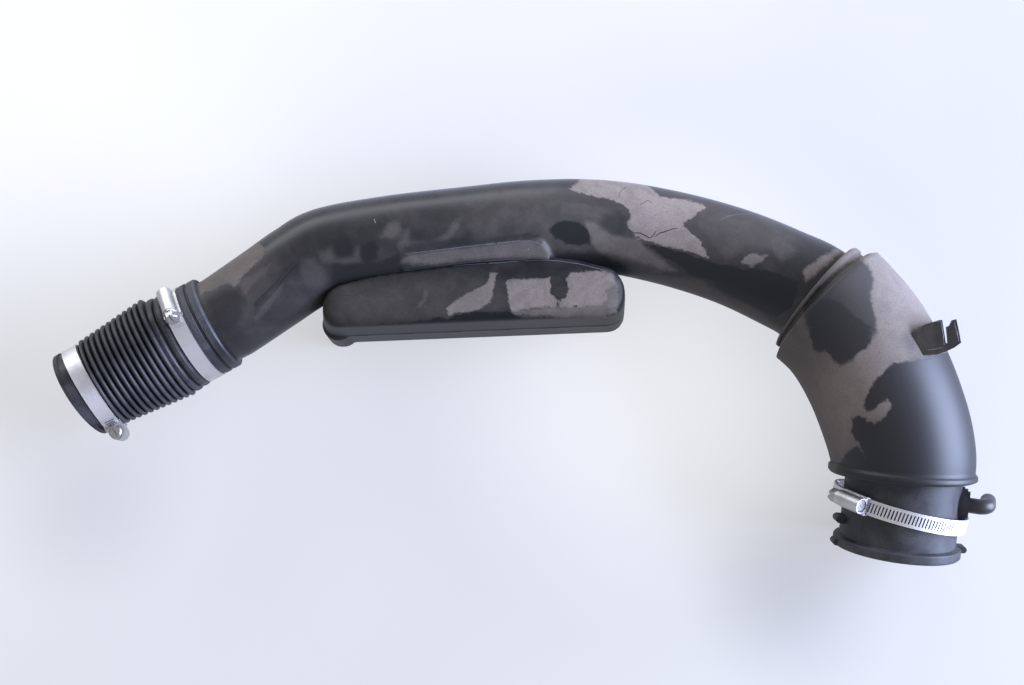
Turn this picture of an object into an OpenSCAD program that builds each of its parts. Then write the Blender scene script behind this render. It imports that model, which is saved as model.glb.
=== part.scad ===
// Air intake duct for a car engine bay, lying on a flat surface as it comes off the engine.
// A blow-moulded pipe carries a resonator chamber on its side. A rubber bellows hose is
// clamped on its thin end, and an elbow with a rubber cuff for the air filter is welded
// on its thick end. Millimetres, +Z up, the origin under the middle of the whole object.

/* [Pipe] */
// Outside diameter of the pipe inside the hose
pipe_small_d = 52; // [51:0.5:52]
// Outside diameter of the pipe where it enters the elbow
pipe_large_d = 61.6; // [60:0.2:61.6]
// Wall of the moulded pipe, elbow and chamber
wall = 2.5; // [2:0.1:3]
// Length of pipe that is pushed into the hose
spigot_len = 27; // [20:1:29]

/* [Bellows hose] */
// Bore of the free end, which goes on the next part of the engine
hose_bore_d = 46; // [42:1:47]
// Outside diameter of the free end
hose_end_d = 52.8; // [52:0.2:54]
// Number of folds
folds = 12; // [8:1:13]
// Outside diameter of the widest fold, next to the duct
fold_wide_d = 65.6; // [62:0.2:66]
// Outside diameter of the narrowest fold, next to the free end
fold_narrow_d = 56; // [55:0.2:60]
// Depth of the grooves between the folds
fold_depth = 2.6; // [1.5:0.1:3.2]
// Lean of the free end's rim, which is longer at the top
rim_lean = 8.5; // [0:0.5:9]

/* [Elbow and cuff] */
// Outside diameter of the elbow
elbow_d = 83.4; // [80:0.2:84]
// Outside diameter of the rolled lip at the elbow's end
elbow_lip_d = 83.6; // [83:0.2:86]
// Outside diameter of the rubber cuff
cuff_d = 65.8; // [65:0.2:67]
// Bore of the rubber cuff, which goes on the air filter's outlet
cuff_bore_d = 60.8; // [58:0.2:61]
// Length of cuff that shows past the elbow
cuff_len = 44; // [40:1:44]

/* [Resonator chamber] */
// Height of the chamber
chamber_h = 56; // [50:1:58]
// Radius of the edges round its top
chamber_edge_r = 6; // [4:0.5:7]
// Radius of the chamber's top edge beside the pipe
back_edge_r = 2.4; // [2:0.2:4]

/* [Hose clamps] */
// Width of the clamp bands
band_w = 9; // [8:0.5:9]
// Thickness of the clamp bands
band_t = 0.8; // [0.6:0.1:0.8]
// Width across the flats of the hexagon screw heads
hex_af = 7; // [6:0.5:7]
// Slots that show in the loose filter clamp
band_slots = 29; // [20:1:30]

/* [Hidden] */
$fn = 96;
plastic = [0.13, 0.13, 0.14];
rubber = [0.09, 0.09, 0.10];
zinc = [0.78, 0.79, 0.80];

// Clearance between pieces that slide over each other
slip = 0.1;

// Sides of the swept pipe and elbow
sweep_sides = 40;

// Where the hose ends on the pipe, and how the hose points away from there
hose_seat = [-178, 29, 36];
hose_yaw = 207.8;
seat_pitch = 4;
bellows_yaw = 209.6;
bellows_pitch = -0.5;
bellows_shift = -0.8;
end_yaw = 211.5;
end_pitch = -4;

// Where the elbow ends, and how the cuff points away from there
cuff_seat = [224.8, -63.5, 46.5];
cuff_yaw = -95;
cuff_pitch = 15.65;
cuff_shift = 1.3;

function heading_of(yaw, pitch) = [cos(pitch) * cos(yaw), cos(pitch) * sin(yaw), -sin(pitch)];
hose_dir = heading_of(hose_yaw, seat_pitch);
cuff_dir = heading_of(cuff_yaw, cuff_pitch);

// Middle line of the pipe and the elbow. The first and last points only set the direction.
route = [
    hose_seat + 2 * spigot_len * hose_dir,
    hose_seat + spigot_len * hose_dir,
    hose_seat,
    hose_seat - 8 * hose_dir,
    [-146, 49.8, 38.5],
    [-129, 61.6, 39.4],
    [-111, 71, 40],
    [-72, 78, 40.5],
    [-30, 83, 40],
    [12, 87.5, 39],
    [53, 87.8, 37.5],
    [92, 81, 37],
    [130, 69, 39],
    [160, 54.5, 42.5],
    [179, 42.5, 46],
    [198, 20.5, 50.5],
    [211, -5, 52.8],
    [220.5, -32, 51.5],
    [224.8, -51, 49],
    cuff_seat,
    cuff_seat + 13 * cuff_dir,
];

// Places along the route, counted in its points
at_pipe_end = 13.36;

function unit(v) = v / norm(v);

// Puts the middle of the whole object on the origin
middle = [2.93, 0.22, 0];
module centred() {
    translate(-middle) children();
}

// A smooth curve through four points in a row, between the two in the middle
function curve(p, i, t) =
    0.5 * (2 * p[i + 1] + (p[i + 2] - p[i]) * t
        + (2 * p[i] - 5 * p[i + 1] + 4 * p[i + 2] - p[i + 3]) * t * t
        + (3 * p[i + 1] - p[i] - 3 * p[i + 2] + p[i + 3]) * t * t * t);
function on_route(u) =
    let (i = max(0, min(floor(u), len(route) - 4)))
    curve(route, i, u - i);
function heading(u) = unit(on_route(u + 0.01) - on_route(u - 0.01));

// One ring of points round the route, and the same ring at each place and radius of a list
function ring(u, r) =
    let (
        h = heading(u),
        side = unit(cross([0, 0, 1], h)),
        top = cross(h, side),
        c = on_route(u)
    )
    [for (k = [0 : sweep_sides - 1])
        let (a = 360 * k / sweep_sides) c + r * (cos(a) * top + sin(a) * side)];
function rings(stations) = [for (s = stations) ring(s[0], s[1])];

// Faces between ring i and ring j of n points each
function band_faces(i, j, n) =
    [for (k = [0 : n - 1])
        let (m = (k + 1) % n)
        each [[i * n + k, i * n + m, j * n + m], [i * n + k, j * n + m, j * n + k]]];

// A solid through a row of rings, closed by flat ends
module loft(row) {
    n = len(row[0]);
    last = len(row) - 1;
    faces = concat(
        [[for (k = [n - 1 : -1 : 0]) k]],
        [[for (k = [0 : n - 1]) last * n + k]],
        [for (i = [0 : last - 1]) each band_faces(i, i + 1, n)]);
    polyhedron([for (r = row) each r], faces, convexity = 10);
}

// A tube through a row of outer rings and a row of inner rings, both in route order
module tube_loft(outer, inner) {
    back = [for (i = [len(inner) - 1 : -1 : 0]) inner[i]];
    row = concat(outer, back);
    n = len(row[0]);
    faces = [for (i = [0 : len(row) - 1]) each band_faces(i, (i + 1) % len(row), n)];
    polyhedron([for (r = row) each r], faces, convexity = 10);
}

// Turns a shape drawn along +Z so that it lies along +X
module along_x() {
    rotate([0, 90, 0]) children();
}

// Frames of the hose, from its seat towards its free end, and of the cuff
bend_at = 31;
module seat_frame() {
    translate(hose_seat) rotate([0, seat_pitch, hose_yaw]) children();
}
module bellows_frame() {
    translate(hose_seat + bend_at * hose_dir) rotate([0, bellows_pitch, bellows_yaw])
        translate([0, bellows_shift, 0]) children();
}
module end_frame() {
    bellows_frame() translate([end_from, 0, 0])
        rotate([0, end_pitch - bellows_pitch, end_yaw - bellows_yaw]) children();
}
module cuff_frame() {
    translate(cuff_seat) rotate([0, cuff_pitch, cuff_yaw])
        translate([0, cuff_shift, 0]) children();
}

// Pipe, with the land that the chamber is welded to

small_r = pipe_small_d / 2;
large_r = pipe_large_d / 2;
pipe_r_table = [[1, small_r], [3, small_r + 0.6], [5, small_r + 1.4], [6, small_r + 1.5],
                [9, small_r + 1.9], [11, small_r + 3.3], [13, large_r], [14, large_r]];
function pipe_r(u) = lookup(u, pipe_r_table);
pipe_places = [0, 1, 2, 2.35, 2.7, 3, 3.5, 4, 4.35, 4.7, 5, 5.3, 5.6, 6, 6.5, 7, 7.5, 8, 8.5, 9,
               9.4, 9.8, 10.2, 10.6, 11, 11.4, 11.8, 12.3, 12.7, 13, at_pipe_end];
function outer_stations() = [for (u = pipe_places) [u, pipe_r(u)]];
function inner_stations() =
    [for (i = [0 : len(pipe_places) - 1]) let (u = pipe_places[i])
        if (i % 2 == 0 || i > len(pipe_places) - 3) [u, pipe_r(u) - wall]];

land_x0 = -66;
land_x1 = 21;
land_y1 = 84;
land_z0 = 26;
land_top = 60.5;
land_rise = 24;
land_tilt = 1.2;
land_over = 3.6;
land_w = 9.6;
lip_z = 56.1;
port_x = -22;
port_z = 40;
port_r = 11;

module chamber_port() {
    translate([port_x, 40, port_z]) rotate([-90, 0, 0]) cylinder(r = port_r, h = 42);
}

// Outline of the land from above: it follows the chamber's back, and its right end is round
module land_outline(forward) {
    corner_r = 10;
    steps = 6;
    reach = land_x1 - corner_r;
    union() {
        polygon(concat(
            [[reach, land_y1], [land_x0, land_y1]],
            [for (i = [0 : steps])
                let (x = land_x0 + (reach - land_x0) * i / steps) [x, chamber_back(x) - forward]]));
        translate([reach, chamber_back(reach) - forward + corner_r]) circle(corner_r);
        translate([reach, chamber_back(reach) - forward + corner_r])
            square([corner_r, land_y1 - chamber_back(reach) + forward - corner_r]);
    }
}

// Outline of the land's raised face: a strip that laps over the chamber, round at its right end
module land_face() {
    end_r = 9;
    steps = 8;
    reach = land_x1 - end_r;
    polygon(concat(
        [for (i = [0 : steps])
            let (x = land_x0 + (land_x1 - land_x0) * i / steps) [x, chamber_back(x) - land_over]],
        [for (a = [15 : 15 : 75])
            [reach + end_r * cos(a), chamber_back(reach) - land_over + land_w * sin(a)]],
        [for (i = [0 : steps])
            let (x = reach - (reach - land_x0 - 2) * i / steps)
                [x, chamber_back(x) - land_over + land_w]]));
}

module main_duct() {
    bore_places = [5.6, 6, 6.5, 7, 7.5, 8, 8.5, 9];
    color(plastic) centred()
    difference() {
        union() {
            tube_loft(rings(outer_stations()), rings(inner_stations()));
            translate([0, 0, land_z0])
                linear_extrude(lip_z - land_z0) land_outline(-parting_out - 0.02);
            difference() {
                translate([0, 0, lip_z - 1]) linear_extrude(14) land_face();
                translate([-80, 0, lip_z - 6])
                    linear_extrude(6) square([160, 66.5]);
                translate([-20, 62, land_top]) rotate([land_rise, land_tilt, 0])
                    translate([-80, -40, 0]) cube([160, 80, 30]);
            }
        }
        loft(rings([for (u = bore_places) [u, pipe_r(u) - wall - 0.02]]));
        chamber_port();
    }
}

// Resonator chamber: a loft of rounded sections from its left end to its right end

chamber_x0 = -119.4;
chamber_x1 = 69;
chamber_mid = -25;
chamber_corner = 10;
left_slope = 0.12;
right_slope = -0.07;
crown_x = 15;
crown_y = 66;
parting_z = 27;
parting_out = 0.8;
bottom_rise = 1;
arc_steps = 4;
end_steps = 4;
body_steps = 8;

function chamber_front(x) = 21.2 + 0.04 * (x - chamber_x0);
function chamber_back(x) =
    crown_y - (x < crown_x ? 0.00112 : 0.0036) * (x - crown_x) * (x - crown_x);

// Stations: x, and how far the section has drawn in at the rounded ends
function chamber_stations(inset) =
    let (
        x0 = chamber_x0 + inset,
        x1 = chamber_x1 - inset,
        c = chamber_corner - inset,
        left = [for (i = [0 : end_steps]) let (a = 90 * i / end_steps) [x0 + c * (1 - cos(a)), c * (1 - sin(a))]],
        body = [for (i = [1 : body_steps - 1])
            [x0 + c + (x1 - x0 - 2 * c) * i / body_steps, 0]],
        right = [for (i = [0 : end_steps]) let (a = 90 * i / end_steps) [x1 - c * (1 - sin(a)), c * (1 - cos(a))]]
    )
    concat(left, body, right);

// Quarter round of a section, from angle a0, round a centre in the y-z plane
function quarter(cy, cz, r, a0) =
    [for (i = [0 : arc_steps]) let (a = a0 - 90 * i / arc_steps) [cy + r * cos(a), cz + r * sin(a)]];

function chamber_section(x, drawn, inset) =
    let (
        draft = 1,
        front = chamber_front(x) + drawn + inset,
        back = chamber_back(x) - drawn - inset,
        top = chamber_h - inset - 0.5 * drawn,
        low = inset + 0.35 * drawn,
        r = chamber_edge_r - inset * 0.5,
        back_r = back_edge_r - inset * 0.5,
        foot = 3.5,
        out = inset > 0 ? 0 : parting_out
    )
    concat(
        quarter(front + draft + r, top - r, r, 180),
        quarter(back - draft - back_r, top - back_r, back_r, 90),
        [[back, parting_z + 1.2], [back + out, parting_z], [back, parting_z - 1.2]],
        quarter(back - foot, low + foot, foot, 0),
        quarter(front + foot, low + foot + bottom_rise, foot, -90),
        [[front, parting_z - 1.2], [front - out, parting_z], [front, parting_z + 1.2]]);

// The ends lean inwards, so each point moves along x with its height
function leaned(x, p) =
    let (
        k = x < chamber_mid
            ? left_slope * (chamber_mid - x) / (chamber_mid - chamber_x0)
            : right_slope * (x - chamber_mid) / (chamber_x1 - chamber_mid)
    )
    [x + k * p[1], p[0], p[1]];

module chamber_skin(inset) {
    loft([for (s = chamber_stations(inset))
        [for (p = chamber_section(s[0], s[1], inset)) leaned(s[0], p)]]);
}

// The pipe beside the chamber, as a solid that is thicker by the given amount
module pipe_body(grown) {
    loft(rings([for (u = pipe_places) if (u >= 3 && u <= 10.6)
        [u, pipe_r(u) + grown]]));
}

module resonator_chamber() {
    foot_x = -107;
    foot_y = 29.4;
    foot_r = 10;
    foot_h = 26;
    color(plastic) centred()
    difference() {
        union() {
            chamber_skin(0);
            translate([foot_x, foot_y, 0.4]) cylinder(r = foot_r, h = foot_h, $fn = 40);
        }
        difference() {
            chamber_skin(wall);
            pipe_body(wall);
        }
        pipe_body(0.02);
        chamber_port();
    }
}

// Elbow: a collar with a groove that takes the pipe, a wide bend, and a rolled lip

elbow_r = elbow_d / 2;
lip_r = elbow_lip_d / 2;
collar_bore = large_r + slip;
module outlet_elbow() {
    outer = [[13, 35.6], [13.03, 36.8], [13.11, 36.8], [13.15, 35.5], [13.24, 35.5],
             [13.27, 39.8], [13.33, 42.4], [13.46, elbow_r + 0.5], [13.8, elbow_r],
             [14.2, elbow_r], [14.6, elbow_r - 0.1], [15, elbow_r - 0.2],
             [15.5, elbow_r - 0.3], [16.1, elbow_r - 0.5], [16.8, elbow_r - 0.9],
             [17.38, elbow_r - 1.3], [17.44, lip_r - 0.6], [17.54, lip_r],
             [17.92, lip_r], [18, lip_r - 0.9]];
    inner = [[13, collar_bore], [at_pipe_end + 0.01, collar_bore], [13.46, 36],
             [13.8, elbow_r - wall], [14.4, elbow_r - wall], [15, elbow_r - wall],
             [15.6, elbow_r - wall - 0.4], [16.4, elbow_r - wall - 0.8],
             [17.2, elbow_r - wall - 1.2], [17.72, elbow_r - wall - 1.2],
             [17.76, cuff_r - 2.5], [18, cuff_r - 2.5]];
    color(plastic) centred() difference() {
        tube_loft(rings(outer), rings(inner));
        cuff_frame() translate([-8, 0, 0]) along_x() cylinder(r = cuff_r + slip, h = 12);
    }
}

// Bellows hose: a cuff with two ribs on the duct, the folds, and a plain cuff with a leaning rim

seat_r = small_r + 3.2;
end_r = hose_end_d / 2;
fold_pitch = 3.76;
folds_from = 1.6;
folds_len = folds * fold_pitch;
end_from = folds_from + folds_len;
band_from = 1.3;
rim_at = band_from + band_w + 3.4;
fold_points = 8;

// Outline of the duct cuff, as radius and distance from the seat
seat_outline = [
    [small_r + slip, 0], [seat_r - 0.8, 0], [seat_r, 1], [seat_r, 4.8], [seat_r - 1.6, 5.6],
    [seat_r - 1.6, 6.4], [seat_r + 0.2, 7], [seat_r + 0.2, 9.8], [seat_r - 0.4, 10.6],
    [seat_r - 0.4, 21.8], [seat_r + 0.6, 22.4], [seat_r + 1, 23.2], [seat_r + 1, 25],
    [seat_r + 0.6, 25.8], [seat_r - 1, 26.4], [seat_r - 1, 26.8], [seat_r + 1, 27.5],
    [seat_r + 1.6, 28.3], [seat_r + 1.6, 30.2], [seat_r + 1, 31], [small_r + slip, 31],
];

// Round folds with sharp grooves between them
function fold_r(z) =
    let (
        t = (z - folds_from) / folds_len,
        crest = (fold_wide_d + (fold_narrow_d - fold_wide_d) * t) / 2
    )
    crest - fold_depth * (1 - pow(abs(sin(180 * (z - folds_from) / fold_pitch)), 0.7));
fold_outline = [for (i = [0 : (folds - 0.5) * fold_points])
    let (z = folds_from + i * fold_pitch / fold_points) [fold_r(z), z]];
fold_bore = [for (i = [0 : (folds - 1) * 2])
    let (z = folds_from + i * fold_pitch / 2) [fold_r(z) - 1.6, z]];

module bellows_hose() {
    bead_w = 2.6;
    far = 60;
    color(rubber) centred()
    difference() {
        union() {
            seat_frame() along_x() rotate_extrude() polygon(seat_outline);
            bellows_frame() along_x() rotate_extrude() polygon(concat(
                [[0, folds_from - 3], [seat_r - 0.2, folds_from - 3], [seat_r - 0.2, folds_from]],
                fold_outline,
                [[fold_r(end_from - fold_pitch / 2), end_from - 1.5], [0, end_from - 1.5]]));
            end_frame() difference() {
                along_x() rotate_extrude() polygon([
                    [0, -5], [end_r - 1.4, -5], [end_r - 1.4, 0.2], [end_r, 0.6],
                    [end_r, rim_at + 10], [0, rim_at + 10]]);
                translate([rim_at, 0, 0]) rotate([0, rim_lean, 0])
                    translate([0, -far, -far]) cube(2 * far);
            }
            end_frame() difference() {
                translate([rim_at, 0, 0]) rotate([0, rim_lean, 0])
                    translate([-bead_w, 0, 0]) along_x() cylinder(r = end_r + 0.9, h = bead_w);
                translate([band_from + band_w + 0.9 - far, -far / 2, -far / 2]) cube(far);
            }
        }
        bellows_frame() along_x() rotate_extrude() polygon(concat(
            [[0, folds_from - 4], [small_r - 1.8, folds_from - 4], [small_r - 1.8, folds_from]],
            fold_bore,
            [[0, end_from - fold_pitch]]));
        end_frame() translate([-8, 0, 0]) along_x() cylinder(d = hose_bore_d, h = rim_at + 20);
    }
}

// Rubber cuff for the air filter, with a port for the breather and lugs that hold a clamp

cuff_r = cuff_d / 2;
cuff_hidden = 11;
rim_r = cuff_r + 3.2;
port_at = 12.2;
port_turn = 72;
boss_out = cuff_r + 1.2;
boss_r = 10.2;
stem_r = 4.4;

// Frame of the port, with +Z out of the cuff's wall
module port_frame() {
    translate([port_at, 0, 0]) rotate([-port_turn, 0, 0]) children();
}

// A lug that stands out of the wall, rounded at its tip
module lug(turn, from, size, out) {
    rotate([-turn, 0, 0]) translate([from, 4, cuff_r - 1.5])
        rotate([90, 0, 0]) linear_extrude(8) union() {
            square([size, out + 1.5 - size / 2]);
            translate([size / 2, out + 1.5 - size / 2]) circle(size / 2);
        }
}

module filter_cuff() {
    color(rubber) centred()
    cuff_frame() difference() {
        union() {
            along_x() rotate_extrude() polygon([
                [0, -cuff_hidden], [cuff_r + 2.5, -cuff_hidden], [cuff_r + 2.5, -6.5],
                [cuff_r, -5.5], [cuff_r, cuff_len - 6.4],
                [rim_r - 0.5, cuff_len - 5.4], [rim_r, cuff_len - 4.6], [rim_r, cuff_len - 0.8],
                [rim_r - 0.8, cuff_len], [0, cuff_len]]);
            port_frame() translate([0, 0, 22]) cylinder(r = boss_r, h = boss_out - 22);
            lug(-88, 26, 4.6, 4.8);
            lug(-89, 40.2, 3.8, 4.8);
            lug(86, 37.8, 3.8, 6.4);
        }
        translate([-cuff_hidden - 1, 0, 0]) along_x()
            cylinder(d = cuff_bore_d, h = cuff_len + cuff_hidden + 2);
        port_frame() cylinder(r = stem_r + slip, h = 60);
    }
}

// Plastic breather elbow: a stem in the port, a flange on its face, and a leg for a thin hose

module breather_elbow() {
    bend_r = 5;
    corner_at = 47.4 - bend_r;
    stem_from = cuff_r - 2.2;
    leg_turn = 8;
    leg_len = 8;
    bore_r = 2.8;
    color(plastic) centred()
    cuff_frame() port_frame() difference() {
        union() {
            translate([0, 0, stem_from]) cylinder(r = stem_r, h = corner_at - stem_from);
            translate([0, 0, boss_out]) cylinder(r = 9.3, h = 1.7);
            translate([0, 0, boss_out + 1.7]) cylinder(r = 7.9, h = 1.4);
            translate([0, 0, corner_at]) rotate([0, 0, leg_turn + 90]) {
                breather_bend(bend_r, stem_r);
                translate([bend_r, 0, bend_r]) along_x() cylinder(r = stem_r, h = leg_len);
            }
        }
        translate([0, 0, stem_from - 1]) cylinder(r = bore_r, h = corner_at - stem_from + 1);
        translate([0, 0, corner_at]) rotate([0, 0, leg_turn + 90]) {
            breather_bend(bend_r, bore_r);
            translate([bend_r, 0, bend_r]) along_x() cylinder(r = bore_r, h = leg_len + 1);
        }
    }
}

// Quarter bend that starts along +Z and ends along +X
module breather_bend(bend_r, r) {
    translate([bend_r, 0, 0]) rotate([90, 0, 180]) rotate_extrude(angle = 90, $fn = 64)
        translate([bend_r, 0]) circle(r, $fn = 48);
}

// Worm clamps. Each is drawn round the X axis with its screw at the top, head towards +Y.

screw_lift = 5;
tunnel_r = 3.5;
tunnel_wall = 0.9;
tunnel_len = 17;
worm_r = 3.1;
neck_r = 2.5;
collar_r = 4.1;
hex_len = 5;

// Frame of each clamp, with its middle on the hose or the cuff
module end_clamp_frame() {
    end_frame() translate([band_from + band_w / 2, 0, 0]) rotate([-96, 0, 0])
        mirror([0, 1, 0]) children();
}
module duct_clamp_frame() {
    seat_frame() translate([16.2, 0, 0]) rotate([28, 0, 0]) children();
}
filter_clamp_r = 38;
module filter_clamp_frame() {
    cuff_frame() translate([19.2, 0, -2.6]) rotate([0, 0, -8.5]) rotate([55, 0, 0])
        mirror([0, 1, 0]) children();
}

// A piece of band from angle a0 to angle a1, counted from the screw towards its head
module band_arc(r, a0, a1) {
    rotate([-a0, 0, 0]) translate([-band_w / 2, 0, 0]) along_x() rotate([0, 0, 180])
        rotate_extrude(angle = a0 - a1)
        translate([r, 0]) square([band_t, band_w]);
}

// Slots of the worm's thread, leaning with it, from angle a0 on
slot_step = 1.9;
module band_slots_cut(r, a0, count) {
    step = slot_step / r * 180 / PI;
    for (i = [0 : count - 1])
        rotate([-(a0 - i * step), 0, 0]) translate([0, 0, r + band_t]) rotate([0, 0, 6])
            cube([5.6, 0.8, 2.4], center = true);
}

// The closed band and the tail that lies over its start, past the screw
module clamp_band(r, tail_to, slots_from, slots) {
    color(zinc)
    difference() {
        union() {
            translate([-band_w / 2, 0, 0]) along_x() difference() {
                cylinder(r = r + band_t, h = band_w);
                translate([0, 0, -1]) cylinder(r = r + 0.03, h = band_w + 2);
            }
            band_arc(r + band_t - 0.05, -10, tail_to);
        }
        band_slots_cut(r, slots_from, slots);
    }
}

// The housing: a tunnel for the screw on a saddle that grips the band's edges
module clamp_housing(r) {
    outer_r = tunnel_r + tunnel_wall;
    saddle_w = band_w + 1.6;
    bands = r + 2 * band_t + 0.05;
    color(zinc)
    difference() {
        translate([0, tunnel_len / 2, 0]) rotate([90, 0, 0]) linear_extrude(tunnel_len) union() {
            translate([0, r + screw_lift]) circle(outer_r);
            translate([-outer_r, r]) square([2 * outer_r, screw_lift]);
            translate([-saddle_w / 2, r - 2]) square([saddle_w, 4.2]);
        }
        along_x() translate([0, 0, -saddle_w]) cylinder(r = r + 0.06, h = 2 * saddle_w);
        along_x() translate([0, 0, -band_w / 2 - 0.15]) cylinder(r = bands, h = band_w + 0.3);
        translate([0, tunnel_len / 2 - 1.2, r + screw_lift]) rotate([90, 0, 0])
            cylinder(r = tunnel_r, h = tunnel_len);
        translate([0, tunnel_len, r + screw_lift]) rotate([90, 0, 0])
            cylinder(r = neck_r + 0.08, h = 2 * tunnel_len);
    }
}

// The screw: a hexagon head with a slot, a collar, a neck and the worm's core
module clamp_screw(r) {
    head_at = tunnel_len / 2 + 0.15;
    hex_r = hex_af / 2 / cos(30);
    color(zinc)
    translate([0, 0, r + screw_lift]) rotate([-90, 0, 0]) difference() {
        union() {
            translate([0, 0, -tunnel_len / 2 + 0.5]) cylinder(r = worm_r, h = tunnel_len - 2);
            cylinder(r = neck_r, h = head_at + 0.5);
            translate([0, 0, head_at]) cylinder(r = collar_r, h = 1);
            translate([0, 0, head_at + 1]) cylinder(r = hex_r, h = hex_len - 1, $fn = 6);
            translate([0, 0, head_at + hex_len]) cylinder(r1 = hex_r - 0.5, r2 = hex_r - 1.2, h = 0.5);
        }
        translate([0, 0, head_at + hex_len + 0.5]) cube([1.1, 12, 3.2], center = true);
    }
}

module end_clamp_band() {
    centred() end_clamp_frame() clamp_band(end_r, 34, 30, 4);
}
module end_clamp_housing() {
    centred() end_clamp_frame() clamp_housing(end_r);
}
module end_clamp_screw() {
    centred() end_clamp_frame() clamp_screw(end_r);
}

duct_clamp_r = seat_r - 0.4;
module duct_clamp_band() {
    centred() duct_clamp_frame() clamp_band(duct_clamp_r, 24, 18, 4);
}
module duct_clamp_housing() {
    centred() duct_clamp_frame() clamp_housing(duct_clamp_r);
}
module duct_clamp_screw() {
    centred() duct_clamp_frame() clamp_screw(duct_clamp_r);
}

module filter_clamp_band() {
    centred() filter_clamp_frame() clamp_band(filter_clamp_r, 36, -14, band_slots);
}
module filter_clamp_housing() {
    centred() filter_clamp_frame() clamp_housing(filter_clamp_r);
}
module filter_clamp_screw() {
    centred() filter_clamp_frame() clamp_screw(filter_clamp_r);
}

// Clip for a thin pipe on the elbow's shoulder: two jaws with a slit between them, on a foot

clip_at = [233.7, 8.3, 95];
clip_h = 32;
clip_lean = -18;
clip_tip = 10;
saddle_at = [210.5, -5, 52.8];
saddle_yaw = -66;
module pipe_clip() {
    saddle_r = elbow_r + 0.4;
    color(plastic) centred()
    difference() {
        translate(clip_at) rotate([clip_tip, clip_lean, 0])
            translate([0, 0, -clip_h]) linear_extrude(clip_h) clip_outline();
        translate(saddle_at) rotate([0, 0, saddle_yaw]) translate([-45, 0, 0]) along_x()
            cylinder(r = saddle_r, h = 90);
        translate([160, -60, 0]) cube([110, 110, saddle_at[2] + 14]);
    }
}

// Outline of the clip along its slit: a wide left jaw and a thin right jaw that is taller
module clip_outline() {
    difference() {
        polygon([
            [-13, 4], [-9, 4.7], [-6.2, 7.8], [1.6, 10], [3.3, 10], [4.9, 5.8], [7.1, 6.7],
            [8.4, 9.5], [10.7, 10], [11.7, 3.6], [12.5, -3.2], [8.6, -5.8], [4, -7.7],
            [-0.5, -9], [-6.6, -9], [-12, -8]]);
        polygon([[3.1, 12], [4.6, -3.2], [5.6, -3.2], [5.1, 12]]);
    }
}

main_duct();
resonator_chamber();
outlet_elbow();
bellows_hose();
filter_cuff();
breather_elbow();
pipe_clip();
end_clamp_band();
end_clamp_housing();
end_clamp_screw();
duct_clamp_band();
duct_clamp_housing();
duct_clamp_screw();
filter_clamp_band();
filter_clamp_housing();
filter_clamp_screw();
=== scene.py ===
"""Looks of the air intake duct: moulded plastic with dried dust, rubber hoses and worm clamps."""

import math

import bpy
import numpy as np
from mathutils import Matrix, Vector
from mathutils.bvhtree import BVHTree
from mathutils.kdtree import KDTree


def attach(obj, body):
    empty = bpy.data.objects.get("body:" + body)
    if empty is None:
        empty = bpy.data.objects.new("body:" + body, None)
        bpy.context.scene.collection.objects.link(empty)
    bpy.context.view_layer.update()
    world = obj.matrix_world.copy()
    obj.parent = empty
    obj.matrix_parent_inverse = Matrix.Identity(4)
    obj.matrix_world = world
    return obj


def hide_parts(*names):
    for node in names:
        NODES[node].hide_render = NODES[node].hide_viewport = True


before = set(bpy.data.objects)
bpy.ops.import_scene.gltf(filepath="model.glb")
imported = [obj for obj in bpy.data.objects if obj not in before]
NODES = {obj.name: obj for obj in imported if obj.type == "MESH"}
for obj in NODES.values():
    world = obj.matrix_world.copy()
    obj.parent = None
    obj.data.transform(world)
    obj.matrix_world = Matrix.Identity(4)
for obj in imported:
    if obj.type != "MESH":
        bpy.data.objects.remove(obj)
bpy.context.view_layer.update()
ROOT = "duct"

MM = 0.001
# The CAD puts the middle of the object on the origin; these places are from before that move, in mm
MIDDLE = np.array([2.93, 0.22, 0.0])

# Camera: it stands where the photograph's camera stood, lengths in mm

IMAGE = (1024, 685)
FOCAL_PX = 1300.0
SENSOR = 36.0
AIM = np.array([-1.5, 16.5, 35.0])
DISTANCE = 780.0
ELEVATION = math.radians(80)
FORWARD = np.array([0.0, math.cos(ELEVATION), -math.sin(ELEVATION)])
RIGHT = np.array([1.0, 0.0, 0.0])
UP = np.cross(RIGHT, FORWARD)
EYE = AIM - DISTANCE * FORWARD - MIDDLE


def make_camera():
    data = bpy.data.cameras.new("photo_camera")
    data.sensor_width = SENSOR
    data.lens = SENSOR * FOCAL_PX / IMAGE[0]
    data.clip_end = 20.0
    camera = bpy.data.objects.new("photo_camera", data)
    bpy.context.scene.collection.objects.link(camera)
    camera.location = Vector(EYE * MM)
    camera.rotation_euler = (math.pi / 2 - ELEVATION, 0, 0)
    bpy.context.scene.camera = camera


def in_photo(points):
    """Where points of the row frame, in metres, lie in the photograph, in pixels."""
    v = np.asarray(points) / MM - EYE
    depth = v @ FORWARD
    x = IMAGE[0] / 2 + FOCAL_PX * (v @ RIGHT) / depth
    y = IMAGE[1] / 2 - FOCAL_PX * (v @ UP) / depth
    return np.stack([x, y], axis=1)


# Light and floor, places and sizes in metres

# Each lamp: place, what it points at, size, power in watts, colour
LAMPS = {
    "right_window": ((1.8, 0.2, 0.78), (0.1, 0, 0), (1.4, 1.1), 30, (0.72, 0.82, 1.0)),
    "low_window": ((1.5, -0.05, 0.50), (0.15, 0, 0.03), (1.2, 1.2), 66, (0.53, 0.63, 1.0)),
    "back_window": ((-0.6, 1.8, 0.5), (0, 0, 0), (2.4, 0.8), 22, (0.86, 0.91, 1.0)),
}
# The room's colour and strength, as it lights the object and as the camera sees it
ROOM = ((0.88, 0.91, 1.0), 0.50)
ROOM_SEEN = ((0.93, 0.95, 1.0), 0.95)

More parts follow.
